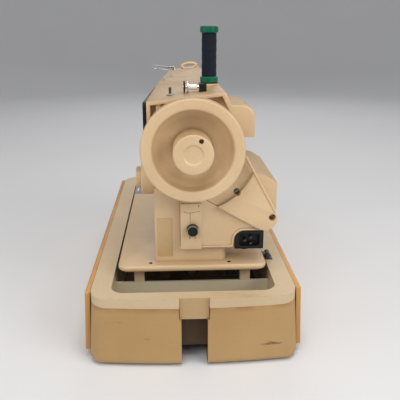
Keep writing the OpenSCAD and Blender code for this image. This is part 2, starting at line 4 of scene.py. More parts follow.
import bmesh
import bpy
from mathutils import Matrix, Vector
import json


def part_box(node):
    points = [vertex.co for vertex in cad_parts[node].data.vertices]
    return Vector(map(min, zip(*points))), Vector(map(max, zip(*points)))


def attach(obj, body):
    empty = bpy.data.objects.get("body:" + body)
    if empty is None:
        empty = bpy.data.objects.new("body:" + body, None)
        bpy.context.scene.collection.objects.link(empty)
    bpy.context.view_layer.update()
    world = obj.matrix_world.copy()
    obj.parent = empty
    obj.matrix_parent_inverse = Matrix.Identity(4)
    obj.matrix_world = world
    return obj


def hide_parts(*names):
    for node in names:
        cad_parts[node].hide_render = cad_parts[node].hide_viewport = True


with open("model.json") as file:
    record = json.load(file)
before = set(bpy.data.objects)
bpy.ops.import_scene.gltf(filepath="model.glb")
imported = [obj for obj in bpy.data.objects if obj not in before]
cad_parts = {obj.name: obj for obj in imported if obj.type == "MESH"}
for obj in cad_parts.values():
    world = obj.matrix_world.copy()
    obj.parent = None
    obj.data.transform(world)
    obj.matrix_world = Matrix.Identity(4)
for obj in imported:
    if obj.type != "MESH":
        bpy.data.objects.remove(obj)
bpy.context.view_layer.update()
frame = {"nodes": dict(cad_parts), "record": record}

MM = 0.001
RECORD = frame["record"]
SLOT_OF = {part["node"]: part["material_slot"] for part in RECORD["subparts"]}
BODY_OF = {node: body for body, nodes in RECORD["behaviour"]["bodies"].items() for node in nodes}


# ---- camera ----

def add_camera():
    """The photograph's view: from the handwheel end, a little above the arm."""
    lens_px, frame_px, sensor = 530.0, 400.0, 36.0
    pitch, yaw = math.radians(17.98), math.radians(2.72)
    forward = Vector((-math.cos(yaw) * math.cos(pitch), math.sin(yaw) * math.cos(pitch), -math.sin(pitch)))
    data = bpy.data.cameras.new("camera")
    data.sensor_width = sensor
    data.lens = lens_px / frame_px * sensor
    data.clip_start = 0.01
    camera = bpy.data.objects.new("camera", data)
    camera.location = (0.774, -0.0187, 0.368)
    camera.rotation_euler = forward.to_track_quat("-Z", "Y").to_euler()
    bpy.context.scene.collection.objects.link(camera)
    bpy.context.scene.camera = camera


add_camera()


# ---- node materials ----

class Nodes:
    """A small helper that adds shader nodes and links them by socket name."""

    def __init__(self, name):
        self.material = bpy.data.materials.new(name)
        self.material.use_nodes = True
        self.tree = self.material.node_tree
        self.shader = self.tree.nodes["Principled BSDF"]
        sources = self.add("ShaderNodeTexCoord").outputs
        self.place, self.normal = sources["Object"], sources["Normal"]

    def add(self, kind, settings=None, **inputs):
        node = self.tree.nodes.new(kind)
        for key, value in (settings or {}).items():
            setattr(node, key, value)
        for key, value in inputs.items():
            self.put(node.inputs[key.replace("_", " ")], value)
        return node

    def put(self, socket, value):
        if isinstance(value, bpy.types.NodeSocket):
            self.tree.links.new(value, socket)
        else:
            socket.default_value = value

    def noise(self, scale, detail=3.0, stretch=(1, 1, 1), rough=0.5):
        mapping = self.add("ShaderNodeMapping", Vector=self.place, Scale=stretch)
        noise = self.add("ShaderNodeTexNoise", Vector=mapping.outputs[0], Scale=scale, Detail=detail)
        noise.inputs["Roughness"].default_value = rough
        return noise.outputs["Fac"]

    def ramp(self, value, low, high, black=0.0, white=1.0):
        node = self.add("ShaderNodeMapRange", Value=value)
        for socket, number in zip(node.inputs[1:5], (low, high, black, white)):
            socket.default_value = number
        return node.outputs[0]

    def mix(self, factor, a, b, blend="MIX"):
        node = self.add("ShaderNodeMix", {"data_type": "RGBA", "blend_type": blend})
        self.put(node.inputs[0], factor)
        self.put(node.inputs[6], a)
        self.put(node.inputs[7], b)
        return node.outputs[2]

    def math(self, operation, a, b):
        node = self.add("ShaderNodeMath", {"operation": operation})
        self.put(node.inputs[0], a)
        self.put(node.inputs[1], b)
        return node.outputs[0]

    def bump(self, height, strength, distance):
        node = self.add("ShaderNodeBump", Height=height, Strength=strength, Distance=distance)
        self.put(self.shader.inputs["Normal"], node.outputs[0])


def rgba(colour, gain=1.0):
    return tuple(min(1.0, c * gain) for c in colour[:3]) + (1.0,)


def moulded(name, colour, age, rough=0.42, grain=0.25, scuffs=0.0, hollow_shade=0.55, coat=0.0, dust=0.0, seam=0.0):
    """Moulded or painted casing: uneven ageing, fine grain, painted shade in the corners and hollows, and
    small scuffs.

    Faces that look up get darker patches: dust, and painted shade on the tops. Stains gather above seam, a
    height in metres.
    """
    n = Nodes(name)
    cloud = n.ramp(n.noise(9, 4), 0.35, 0.7)
    colour_now = n.mix(cloud, rgba(colour), rgba(age))
    speck = n.ramp(n.noise(420, 2), 0.30, 0.72)
    colour_now = n.mix(0.10, colour_now, n.mix(speck, rgba(age, 0.78), rgba(colour, 1.1)))
    # Painted shade: an ambient-occlusion mask darkens corners and hollows toward a dark brown.
    hollow = n.add("ShaderNodeAmbientOcclusion", {"samples": 4}, Distance=0.006).outputs["AO"]
    painted_hollow_shade = n.math("MULTIPLY", n.ramp(hollow, 0.65, 0.15), hollow_shade)
    colour_now = n.mix(painted_hollow_shade, colour_now, rgba((age[0] * 0.45, age[1] * 0.32, age[2] * 0.2)))
    # Upward faces are darkened in patches: dust, and painted shade on the tops.
    if dust:
        upward = n.add("ShaderNodeSeparateXYZ", Vector=n.normal).outputs["Z"]
        patches = n.ramp(n.noise(26, 4), 0.2, 0.7, dust * 0.7, dust)
        dust_and_top_shade = n.math("MULTIPLY", n.ramp(upward, 0.5, 0.97), patches)
        colour_now = n.mix(dust_and_top_shade, colour_now, rgba((age[0] * 0.55, age[1] * 0.5, age[2] * 0.42)))
    if seam:
        height = n.add("ShaderNodeSeparateXYZ", Vector=n.place).outputs["Z"]
        stains = n.ramp(n.noise(38, 4), 0.35, 0.65, 0.1, 0.75)
        band = n.math("MULTIPLY", n.ramp(height, seam - 0.007, seam), stains)
        colour_now = n.mix(band, colour_now, rgba((age[0] * 0.75, age[1] * 0.5, age[2] * 0.3)))
    if scuffs:
        streak = n.noise(42, 6, (1, 0.35, 2.2), 0.7)
        mark = n.math("MULTIPLY", n.ramp(streak, 0.62, 0.69), scuffs)
        colour_now = n.mix(mark, colour_now, rgba((age[0] * 0.25, age[1] * 0.2, age[2] * 0.15)))
    n.put(n.shader.inputs["Base Color"], colour_now)
    n.put(n.shader.inputs["Roughness"], n.ramp(n.noise(60, 3), 0.3, 0.75, rough - 0.06, rough + 0.10))
    n.shader.inputs["Coat Weight"].default_value = coat
    n.shader.inputs["Coat Roughness"].default_value = 0.3
    n.bump(n.noise(1500, 2), grain, 0.00008)
    return n.material


def metal(name, colour, rough=0.25, brushed=(1, 1, 1), wear=0.3):
    """Bare metal with fine machining marks and dull patches."""
    n = Nodes(name)
    dull = n.ramp(n.noise(35, 4), 0.4, 0.7)
    worn = n.math("MULTIPLY", dull, wear)
    n.put(n.shader.inputs["Base Color"], n.mix(worn, rgba(colour), rgba(colour, 0.55)))
    n.shader.inputs["Metallic"].default_value = 1.0
    n.put(n.shader.inputs["Roughness"], n.ramp(n.noise(300, 3, brushed), 0.3, 0.7, rough * 0.8, rough * 1.5))
    n.bump(n.noise(700, 2, brushed), 0.12, 0.00005)
    return n.material


def dark_plastic(name, colour, rough=0.35, dust=0.3):
    """Black or coloured plastic with dust and hairline wear."""
    n = Nodes(name)
    specks = n.ramp(n.noise(160, 5), 0.55, 0.8, 0.0, dust)
    n.put(n.shader.inputs["Base Color"], n.mix(specks, rgba(colour), rgba([c * 0.7 + 0.06 for c in colour])))
    n.put(n.shader.inputs["Roughness"], n.ramp(n.noise(90, 3), 0.3, 0.7, rough, rough + 0.2))
    n.shader.inputs["Specular IOR Level"].default_value = 0.3
    n.bump(n.noise(1200, 2), 0.2, 0.00006)
    return n.material


def wound_thread(name, colour):
    """Thread laid on the reel in fine crossing turns, striped with painted light and shade along the turns.
    """
    n = Nodes(name)
    split = n.add("ShaderNodeSeparateXYZ", Vector=n.place)
    turns = n.add("ShaderNodeTexWave", {"bands_direction": "Z"}, Vector=n.place, Scale=330, Distortion=1.2)
    turns.inputs["Detail Scale"].default_value = 6
    # Painted light and shade: the turns are striped with darker and lighter copies of the thread colour.
    shade = n.mix(turns.outputs["Fac"], rgba(colour, 0.55), rgba(colour, 1.5))
    fade = n.ramp(split.outputs["Z"], 0.31, 0.36, 0.0, 0.25)
    n.put(n.shader.inputs["Base Color"], n.mix(fade, shade, rgba(colour, 0.8)))
    n.shader.inputs["Roughness"].default_value = 0.7
    n.shader.inputs["Specular IOR Level"].default_value = 0.15
    n.shader.inputs["Sheen Weight"].default_value = 0.08
    n.bump(turns.outputs["Fac"], 0.5, 0.00025)
    return n.material


def frosted_glass(name):
    """The lamp's frosted bulb, unlit."""
    n = Nodes(name)
    n.put(n.shader.inputs["Base Color"], n.mix(n.noise(40), (0.86, 0.84, 0.76, 1), (0.93, 0.91, 0.84, 1)))
    n.shader.inputs["Roughness"].default_value = 0.3
    n.shader.inputs["Subsurface Weight"].default_value = 0.2
    n.bump(n.noise(900), 0.1, 0.00005)
    return n.material


CREAM = (0.66, 0.485, 0.29)
CREAM_AGED = (0.60, 0.42, 0.235)
RIM_SEAM = 0.074        # the height in metres where stains gather on the case base
MATERIALS = {
    # dust on the cream casings also darkens their upward faces as painted shade
    "cream_paint": moulded("cream_paint", CREAM, CREAM_AGED, rough=0.36, grain=0.15, coat=0.15, dust=0.25),
    "cream_plastic": moulded("cream_plastic", CREAM, CREAM_AGED, rough=0.45, grain=0.35, dust=0.8),
    "pale_plastic": moulded("pale_plastic", (0.58, 0.46, 0.30), (0.54, 0.40, 0.24), rough=0.5, grain=0.3,
                            scuffs=0.15),
    "aged_plastic": moulded("aged_plastic", (0.45, 0.285, 0.12), (0.39, 0.235, 0.085), rough=0.5, scuffs=0.8,
                            hollow_shade=0.7, seam=RIM_SEAM),
    "amber_panel": moulded("amber_panel", (0.55, 0.30, 0.09), (0.46, 0.22, 0.055), rough=0.4, scuffs=0.35,
                           hollow_shade=0.7),
    "black_plastic": dark_plastic("black_plastic", (0.006, 0.006, 0.007), dust=0.12),
    "rubber": dark_plastic("rubber", (0.018, 0.018, 0.018), rough=0.6),
    "chrome": metal("chrome", (0.82, 0.81, 0.79), rough=0.12, wear=0.15),
    "steel": metal("steel", (0.56, 0.55, 0.53), rough=0.28, brushed=(1, 1, 12)),
    "dark_steel": metal("dark_steel", (0.10, 0.095, 0.09), rough=0.4),
    "brass": metal("brass", (0.50, 0.36, 0.14), rough=0.35),
    "green_plastic": dark_plastic("green_plastic", (0.001, 0.11, 0.055), rough=0.25, dust=0.1),
    "thread": wound_thread("thread", (0.010, 0.013, 0.024)),
    "label": moulded("label", (0.56, 0.39, 0.20), (0.50, 0.33, 0.16), rough=0.3, grain=0.1, hollow_shade=0.3),
    "white_plastic": dark_plastic("white_plastic", (0.80, 0.79, 0.75), rough=0.25),
    "lamp_glass": frosted_glass("lamp_glass"),
    # Painted light: the divider wall of the tray moulding gets a lighter, greyer tint than the rest, for the
    # light and reflected grey falling on it.
    "divider_painted_light": moulded("divider_painted_light", (0.60, 0.56, 0.42), (0.54, 0.48, 0.34), rough=0.35, grain=0.2,
                            scuffs=0.1),
    "latch": moulded("latch", (0.47, 0.33, 0.17), (0.42, 0.28, 0.13), rough=0.5, scuffs=0.2),
    "shadowed": moulded("shadowed", (0.10, 0.055, 0.022), (0.06, 0.032, 0.012), rough=0.7, scuffs=0.4),
    "felt": dark_plastic("felt", (0.22, 0.05, 0.03), rough=0.85),
}


# ---- mesh helpers: sizes here are in millimetres ----

# where a profile's two flat axes and its length go
SIDES = {"X": (1, 2, 0), "Y": (2, 0, 1), "Z": (0, 1, 2)}


def place_point(axis, flat_a, flat_b, along):
    """A point whose two flat coordinates and length are laid out round the axis."""
    spot = [0.0, 0.0, 0.0]
    for index, value in zip(SIDES[axis], (flat_a, flat_b, along)):
        spot[index] = value
    return Vector(spot)


def corners_of(node):
    """The low and high corners of a CAD node's box."""
    return [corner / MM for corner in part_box(node)]


def middle(node):
    """The middle of a CAD node's box."""
    low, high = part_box(node)
    return (low + high) / 2 / MM


def new_object(name, bm, scale=MM):
    """Turns a bmesh into an object at the origin, with its faces turned outward."""
    bmesh.ops.recalc_face_normals(bm, faces=bm.faces)
    if scale != 1:
        bmesh.ops.scale(bm, vec=(scale,) * 3, verts=bm.verts)
    mesh = bpy.data.meshes.new(name)
    bm.to_mesh(mesh)
    bm.free()
    piece = bpy.data.objects.new(name, mesh)
    bpy.context.scene.collection.objects.link(piece)
    return piece


def fillet(corners, steps=6):
    """A polyline with its corners rounded: each corner is (a, b) or (a, b, radius)."""
    points = [Vector(c[:2]) for c in corners]
    radii = [c[2] if len(c) > 2 else 0 for c in corners]
    line = []
    for i, (point, radius) in enumerate(zip(points, radii)):
        if radius == 0 or i in (0, len(points) - 1):
            line.append(point)
            continue
        back, ahead = (points[i - 1] - point).normalized(), (points[i + 1] - point).normalized()
        half = back.angle(ahead) / 2
        reach = radius / math.tan(half)
        centre = point + (back + ahead).normalized() * radius / math.sin(half)
        start, end = point + back * reach - centre, point + ahead * reach - centre
        turn = start.angle_signed(end)
        line += [centre + Matrix.Rotation(-turn * k / steps, 2) @ start for k in range(steps + 1)]
    return line


def lathe(name, profile, axis, centre, steps=96):
    """Turns a profile of (radius, place along the axis) round the axis through the centre."""
    bm = bmesh.new()
    rings = []
    flat_a, flat_b = (centre[i] for i in SIDES[axis][:2])
    for radius, along in profile:
        count = steps if radius > 1e-4 else 1
        angles = [math.tau * k / count for k in range(count)]
        spots = [(flat_a + radius * math.cos(t), flat_b + radius * math.sin(t)) for t in angles]
        rings.append([bm.verts.new(place_point(axis, a, b, along)) for a, b in spots])
    for one, two in zip(rings, rings[1:]):
        for k in range(steps):
            corners = (one[k % len(one)], one[(k + 1) % len(one)], two[(k + 1) % len(two)], two[k % len(two)])
            corners = list(dict.fromkeys(corners))
            if len(corners) > 2:
                bm.faces.new(corners)
    return new_object(name, bm)


def prism(name, outline, axis, low, high, edge=0.4):
    """An outline pulled along the axis, with softened edges."""
    bm = bmesh.new()
    face = bm.faces.new([bm.verts.new(place_point(axis, a, b, low)) for a, b in outline])
    pulled = bmesh.ops.extrude_face_region(bm, geom=[face])["geom"]
    moved = [v for v in pulled if isinstance(v, bmesh.types.BMVert)]
    bmesh.ops.translate(bm, vec=place_point(axis, 0, 0, high - low), verts=moved)
    piece = new_object(name, bm)
    if edge:
        bevel(piece, edge)
    return piece


def tube(name, points, radius, closed=False):
    """A round wire through the points."""
    curve = bpy.data.curves.new(name, "CURVE")
    curve.dimensions = "3D"
    curve.bevel_depth = radius * MM
    curve.bevel_resolution = 5
    curve.use_fill_caps = True
    spline = curve.splines.new("POLY")
    spline.points.add(len(points) - 1)
    for slot, point in zip(spline.points, points):
        slot.co = (*(Vector(point) * MM), 1)
    spline.use_cyclic_u = closed
    temporary = bpy.data.objects.new(name, curve)
    bpy.context.scene.collection.objects.link(temporary)
    mesh = bpy.data.meshes.new_from_object(temporary.evaluated_get(bpy.context.evaluated_depsgraph_get()))
    bpy.data.objects.remove(temporary)
    piece = bpy.data.objects.new(name, mesh)
    bpy.context.scene.collection.objects.link(piece)
    return piece


def join(name, pieces):
    """One object out of several."""
    bm = bmesh.new()
    for piece in pieces:
        bm.from_mesh(piece.data)
        bpy.data.objects.remove(piece)
    return new_object(name, bm, scale=1)


def apply_modifiers(piece):
    """Keeps the shape that the modifiers give, with none left on the piece."""
    view = bpy.context.evaluated_depsgraph_get()
    mesh = bpy.data.meshes.new_from_object(piece.evaluated_get(view))
    piece.modifiers.clear()
    piece.data = mesh


def bevel(piece, width, segments=3, angle=32):
    """Rounds every edge where the faces turn by more than the angle."""
    modifier = piece.modifiers.new("bevel", "BEVEL")
    modifier.width = width * MM
    modifier.segments = segments
    modifier.limit_method = "ANGLE"
    modifier.angle_limit = math.radians(angle)
    apply_modifiers(piece)


def bevel_some(piece, width, wanted, segments=4, angle=25, clamp=True):
    """Rounds only the sharp edges whose middle and length, in millimetres, pass the test."""
    bm = bmesh.new()
    bm.from_mesh(piece.data)
    edges = []
    for edge in bm.edges:
        centre = (edge.verts[0].co + edge.verts[1].co) / 2 / MM
        sharp = len(edge.link_faces) == 2 and edge.calc_face_angle(0) > math.radians(angle)
        if sharp and wanted(centre, edge.calc_length() / MM):
            edges.append(edge)
    bmesh.ops.bevel(bm, geom=edges, offset=width * MM, segments=segments, profile=0.5,
                    affect="EDGES", clamp_overlap=clamp)
    bm.to_mesh(piece.data)
    bm.free()


def cut(piece, tool):
    """Takes the tool's shape out of the piece."""
    modifier = piece.modifiers.new("cut", "BOOLEAN")
    modifier.operation = "DIFFERENCE"
    modifier.object = tool
    modifier.solver = "EXACT"
    apply_modifiers(piece)
    bpy.data.objects.remove(tool)


def shade(piece, angle=32):
    """Smooth shading, with an edge kept sharp where the faces turn by more than the angle."""
    bm = bmesh.new()
    bm.from_mesh(piece.data)
    for face in bm.faces:
        face.smooth = True
    for edge in bm.edges:
        edge.smooth = len(edge.link_faces) == 2 and edge.calc_face_angle(0) < math.radians(angle)
    bm.to_mesh(piece.data)
    bm.free()


def cad_copy(node):
    """A free copy of a CAD node's mesh, with its flat faces joined up again."""
    bm = bmesh.new()
    bm.from_mesh(frame["nodes"][node].data)
    bmesh.ops.remove_doubles(bm, verts=bm.verts, dist=1e-6)
    bmesh.ops.dissolve_limit(bm, angle_limit=math.radians(0.6), verts=bm.verts, edges=bm.edges)
    return new_object(node + "_shell", bm, scale=1)


def dress(piece, node, material=None, replaces=True):
    """The piece rides with the node, takes the material given or else its slot's material, and stands for it
    unless told not to.
    """
    shade(piece)
    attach(piece, BODY_OF[node])
    if replaces:
        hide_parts(node)
    piece.data.materials.clear()
    piece.data.materials.append(MATERIALS[material or SLOT_OF[node]])
    return piece


def trim(piece, node, material):
    """A detail that rides with a node and replaces nothing."""
    shade(piece)
    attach(piece, BODY_OF[node])
    piece.data.materials.clear()
    piece.data.materials.append(MATERIALS[material])
    return piece


def paint(piece, material, wanted):
    """Gives another material to the faces whose middle, in millimetres, and normal pass the test."""
    piece.data.materials.append(MATERIALS[material])
    for face in piece.data.polygons:
        if wanted(face.center / MM, face.normal):
            face.material_index = len(piece.data.materials) - 1


# ---- pieces that keep the CAD shape, with softened edges ----

SOFT_EDGES = {
    "front_side_panel": 0.8, "rear_side_panel": 0.8, "arm_casting": 1.6, "top_cover": 1.6, "face_cover": 1.2,
    "front_panel": 0.6, "belt_guard": 0.7, "end_cover": 0.8, "power_inlet": 0.5,
    "rating_plate": 0.15, "hinge_brackets": 0.3, "hinge_arms": 0.5, "needle_plate": 0.4, "slide_plate": 0.4,
    "rubber_feet": 0.5, "bed_feet": 0.8, "winder_block": 0.8, "presser_lever": 0.8, "presser_foot": 0.4,
    "take_up_lever": 0.5, "feed_dog": 0.2, "pattern_slider": 0.4, "width_slider": 0.4,
    "hook": 0.5, "bobbin_case": 0.3,
}


def build_softened():
    """Pieces that differ from the CAD only in their rounded edges."""
    for node, width in SOFT_EDGES.items():
        piece = cad_copy(node)
        bevel(piece, width)
        dress(piece, node)


# ---- case base ----

def inward(centre, normal):
    """True for a face that looks toward the middle of the base."""
    half_long, half_wide = 260, 117
    return normal.x * centre.x / half_long + normal.y * centre.y / half_wide < -0.2


def build_base():
    shell = cad_copy("base_shell")
    low, high = corners_of("base_shell")
    notch_y, notch_z = 15, 60
    foot_x, foot_y, foot_reach = 215, 90, 12
    off_feet = lambda c: math.hypot(abs(c.x) - foot_x, abs(c.y) - foot_y) > foot_reach
    outside = lambda c: abs(c.x) > high.x - 40 or abs(c.y) > high.y - 8
    in_notch = lambda c: abs(c.y) < notch_y and c.z < notch_z and abs(c.x) > 180
    lowest = lambda c, n: c.z < low.z + 0.2 and off_feet(c) and n > 0.3
    outer_foot = lambda c, n: lowest(c, n) and outside(c) and not in_notch(c)
    bevel_some(shell, 8.5, outer_foot, segments=7, clamp=False)
    bevel_some(shell, 1.0, lambda c, n: abs(c.x) > high.x - 9 and abs(c.y) < 20 and n > 8, clamp=False)
    dress(shell, "base_shell")
    paint(shell, "shadowed", lambda c, n: in_notch(c) and abs(c.y) < notch_y - 0.2 and abs(n.x) < 0.9)
    paint(shell, "shadowed", lambda c, n: inward(c, n) and not in_notch(c))

    tray = cad_copy("rim_tray")
    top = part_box("rim_tray")[1].z / MM
    rim_x, rim_y, opening_y = 243, 105, 96
    latch_y, latch_top, floor_z = 18, 73.5, 24
    at_top = lambda c: c.z > top - 0.2
    on_rim = lambda c: abs(c.y) > latch_y and (abs(c.x) > rim_x or abs(c.y) > rim_y)
    bevel_some(tray, 3.2, lambda c, n: at_top(c) and on_rim(c), clamp=False)
    round_opening = lambda c: abs(c.x) < rim_x and abs(c.y) < opening_y
    bevel_some(tray, 2.0, lambda c, n: at_top(c) and round_opening(c) and n > 1, clamp=False)
    dress(tray, "rim_tray")
    paint(tray, "shadowed", lambda c, n: c.z < floor_z and c.x < 180)
    paint(tray, "shadowed", lambda c, n: c.z < 59 and abs(c.x) > 235 and c.x * n.x > 0 and abs(n.x) > 0.9)
    paint(tray, "latch", lambda c, n: c.z < latch_top and abs(c.y) < latch_y and abs(c.x) > rim_x)
    # Painted light: the divider wall takes a lighter, greyer colour than the tray around it.
    paint(tray, "divider_painted_light", lambda c, n: 178 < c.x < 185 and floor_z < c.z < 74)


# ---- bed ----

def build_bed():
    bed = cad_copy("bed")
    low, high = corners_of("bed")
    edge_w, edge_thick, plates_w = 14, 8, 84
    holes = ((191, -50), (192, 44))
    rim = lambda c: abs(c.y) > high.y - edge_w or c.x > high.x - edge_w or c.x < low.x + edge_w
    in_hole = lambda c: any(math.hypot(c.x - x, c.y - y) < 4 for x, y in holes)
    at_face = lambda c: abs(c.z - high.z) < 0.1 or abs(c.z - high.z + edge_thick) < 0.1
    beyond_plates = lambda c: c.x > low.x + plates_w
    on_edge = lambda c: at_face(c) and rim(c) and beyond_plates(c) and not in_hole(c)
    bevel_some(bed, 3.4, lambda c, n: on_edge(c) and n > 0.5, clamp=False)
    dress(bed, "bed")
    paint(bed, "shadowed", lambda c, n: in_hole(c) and n.z < 0.5)
    paint(bed, "shadowed", lambda c, n: c.z < high.z - edge_thick + 0.1)


# ---- handwheel and its knob ----

def build_handwheel():
    low, high = corners_of("handwheel")
    centre = middle("handwheel")
    rim_r = (high.y - low.y) / 2
    front = high.x
    profile = fillet([
        (6, low.x), (36, low.x, 0.3), (36, low.x + 1, 0.2), (33, low.x + 1.4), (33, low.x + 5.6),
        (36, low.x + 6), (36, low.x + 7, 0.3), (20, low.x + 7), (20, front - 28.5), (34, front - 28.5, 4),
        (rim_r - 4, front - 23, 4), (rim_r, front - 15, 5), (rim_r, front, 2.4), (rim_r - 12.2, front, 3.0),
        (rim_r - 15, front - 9, 12), (33, front - 19, 14), (22, front - 22.5, 8), (6, front - 22.5)], steps=8)
    dress(lathe("handwheel_body", profile, "X", centre, steps=128), "handwheel")


def build_clutch_knob():
    low, high = corners_of("clutch_knob")
    centre = middle("clutch_knob")
    screw = middle("clutch_screw")
    knob_r = (high.y - low.y) / 2
    face = high.x
    profile = fillet([
        (6.05, low.x), (knob_r, low.x), (knob_r, face, 2.0), (11.1, face, 0.5), (9.2, face - 1.4, 0.5),
        (0, face - 1.4)])
    knob = lathe("clutch_knob_body", profile, "X", centre, steps=96)
    bore_r, bore_back = 2.6, face - 7
    bore = [(0, bore_back), (bore_r, bore_back), (bore_r, face + 1), (0, face + 1)]
    cut(knob, lathe("bore", bore, "X", screw, steps=40))
    dress(knob, "clutch_knob")
    dress(slotted_screw("clutch_screw_head", screw, 2.5, face - 6.5, face - 3.2, 50), "clutch_screw")


def slotted_screw(name, place, radius, back, face, turn):
    """A screw head that faces along X, with a slot turned by so many degrees."""
    profile = fillet([(0, back), (radius, back), (radius, face, 0.3), (0, face)])
    head = lathe(name + "_head", profile, "X", place, steps=40)
    reach, half_slot, depth = radius + 1, 0.4, 0.9
    outline = [(-reach, -half_slot), (reach, -half_slot), (reach, half_slot), (-reach, half_slot)]
    slot = prism(name + "_slot", outline, "X", face - depth, face + 1, edge=0)
    to_screw = Matrix.Translation((0, place.y * MM, place.z * MM))
    slot.data.transform(to_screw @ Matrix.Rotation(math.radians(turn), 4, "X"))
    cut(head, slot)
    return head


# ---- covers at the handwheel end ----

def build_motor_cover():
    cover = cad_copy("motor_cover")
    low, high = corners_of("motor_cover")
    along_side = lambda c, n: low.x + 2 < c.x < high.x - 2 and n > 40 and c.y > 60
    bevel_some(cover, 3.5, along_side, segments=5, angle=10)
    bevel_some(cover, 0.9, lambda c, n: c.x > high.x - 0.2 or c.x < low.x + 0.2)
    dress(cover, "motor_cover")


def build_guard_details():
    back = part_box("guard_screws")[0].x / MM
    for k, (y, z, turn) in enumerate(((51, 189.6, 30), (92.6, 158.8, -20))):
        screw = slotted_screw(f"guard_screw_{k}", Vector((0, y, z)), 3.3, back, back + 1.5, turn)
        trim(screw, "guard_screws", "dark_steel")
    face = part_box("belt_guard")[1].x / MM
    lip = tube("guard_lip", [(face - 0.6, 59.5, 232), (face - 0.6, 96.0, 165.4)], 1.6)
    trim(lip, "belt_guard", "cream_plastic")


def build_end_cover_details():
    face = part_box("end_cover")[1].x / MM
    low_face = face - 2.5
    inlet_y, inlet_z, inlet_r = 61, 129.5, 13.6
    turns = [math.radians(t) for t in range(180, 85, -8)]
    corner = [(inlet_y + inlet_r * math.cos(t), inlet_z + inlet_r * math.sin(t)) for t in turns]
    path = [(9.5, 122.2), (45.5, 122.2), (47.0, 123.4), *corner, (73, 143.1)]
    trim(tube("inlet_lip", [(low_face + 0.5, y, z) for y, z in path], 1.4), "end_cover", "cream_plastic")
    mark = [(-10.3, 166.4), (-6.5, 165.2), (-3.6, 165.0), (0, 165.4), (4.5, 166.2), (9.2, 166.8)]
    lines = [tube("mark_arc", [(face, y, z) for y, z in mark], 0.22),
             tube("mark_stem", [(face, -2.6, 165), (face, -2.6, 153)], 0.22),
             tube("mark_left", [(face, -3.3, 137), (face, -3.3, 133)], 0.4),
             tube("mark_right", [(face, 2.9, 137), (face, 2.9, 133)], 0.4)]
    # Painted shade: a flat dark disc stands where the small screw hole is.
    hole_shade_profile = [(0, face + 0.05), (0.9, face + 0.05)]
    lines.append(lathe("hole_shade_disc", hole_shade_profile, "X", Vector((0, 7.2, 173.4)), steps=24))
    trim(join("panel_marks_and_hole_shade", lines), "end_cover", "dark_steel")


def build_feed_knob():
    low, high = corners_of("feed_knob")
    centre = middle("feed_knob")
    bm = bmesh.new()
    teeth = 36
    rings = []
    for along, reach in ((high.x - 8, 7.0), (high.x - 1.0, 7.0), (high.x, 6.1)):
        ring = []
        for k in range(teeth * 2):
            radius = reach - (0.45 if k % 2 else 0)
            t = math.tau * k / teeth / 2
            spot = (along, centre.y + radius * math.cos(t), centre.z + radius * math.sin(t))
            ring.append(bm.verts.new(spot))
        rings.append(ring)
    for one, two in zip(rings, rings[1:]):
        for k in range(len(one)):
            bm.faces.new((one[k], one[(k + 1) % len(one)], two[(k + 1) % len(two)], two[k]))
    bm.faces.new(rings[0])
    bm.faces.new(rings[-1])
    knob = new_object("knurled_knob", bm)
    dimple = fillet([(0, high.x - 1), (3.6, high.x - 1, 0.5), (4.2, high.x + 1), (0, high.x + 1)])
    cut(knob, lathe("dimple", dimple, "X", centre, steps=48))
    stem = lathe("stem", [(0, low.x), (3, low.x), (3, high.x - 7), (0, high.x - 7)], "X", centre, steps=32)
    body = dress(join("feed_knob_body", [knob, stem]), "feed_knob")
    reach = lambda c: math.hypot(c.y - centre.y, c.z - centre.z)
    paint(body, "steel", lambda c, n: c.x > high.x - 1.2 and 5.8 < reach(c) and 0.2 < n.x < 0.98)
    paint(body, "black_plastic", lambda c, n: reach(c) < 4.3 and c.x > high.x - 1.5)


# ---- lamp ----

def build_lamp():
    low, high = corners_of("lamp_housing")
    hood = cad_copy("lamp_housing")
    at_end = lambda c: c.x > high.x - 0.1 or c.x < low.x + 0.1
    bevel_some(hood, 3.5, lambda c, n: at_end(c) and c.z > low.z + 0.2, clamp=False)
    bevel_some(hood, 0.6, lambda c, n: c.z < low.z + 0.2)
    dress(hood, "lamp_housing")
    centre = middle("lamp_bulb")
    start, end = (corner.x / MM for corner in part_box("lamp_bulb"))
    bulb = fillet([(0, start), (9, start, 8.5), (9, end - 20, 3), (6.8, end - 14, 2), (6.8, end), (0, end)])
    dress(lathe("bulb", bulb, "X", centre, steps=48), "lamp_bulb")


# ---- reel, eyelet, winder and guides on top of the arm ----

def build_reel():
    low, high = corners_of("thread_spool")
    centre = middle("thread_spool")
    radius = (high.x - low.x) / 2
    core_r = 7.5
    half = [(2.6, 0), (9.8, 0, 0.6), (radius, 1.0, 0.8), (radius, 7.2, 0.8), (radius - 1.6, 8.0, 0.4),
            (core_r, 8.2)]
    top = [(c[0], high.z - low.z - c[1], *c[2:]) for c in reversed(half)]
    profile = [(r, low.z + z) for r, z in fillet(half) + fillet(top)]
    profile.append(profile[0])
    dress(lathe("reel_body", profile, "Z", centre, steps=72), "thread_spool")
    thread_low, thread_high = corners_of("spool_thread")
    thread_r = (thread_high.x - thread_low.x) / 2
    wound = []
    pitch, steps = 0.62, 36
    turns = int((thread_high.z - thread_low.z - 0.6) / pitch)
    for k in range(turns * steps):
        t = math.tau * k / steps
        reach = thread_r - 0.5 + (0.12 * math.sin(k * 0.011) + 0.08 * math.sin(k * 0.0037))
        wound.append((centre.x + reach * math.cos(t), centre.y + reach * math.sin(t),
                      thread_low.z + 0.4 + pitch * k / steps))
    thread = tube("wound_thread", wound, 0.34)
    outer_r = thread_r - 0.4
    start, end = thread_low.z, thread_high.z
    section = [(core_r, start), (outer_r, start), (outer_r, end), (core_r, end)]
    core = lathe("thread_core", section, "Z", centre, steps=64)
    dress(join("thread_winding", [thread, core]), "spool_thread")
    felt = fillet([(3, low.z - 1.2), (12.4, low.z - 1.2, 0.3), (12.4, low.z - 0.1, 0.4), (3, low.z - 0.1)])
    trim(lathe("spool_felt", felt, "Z", centre, steps=64), "top_cover", "felt")


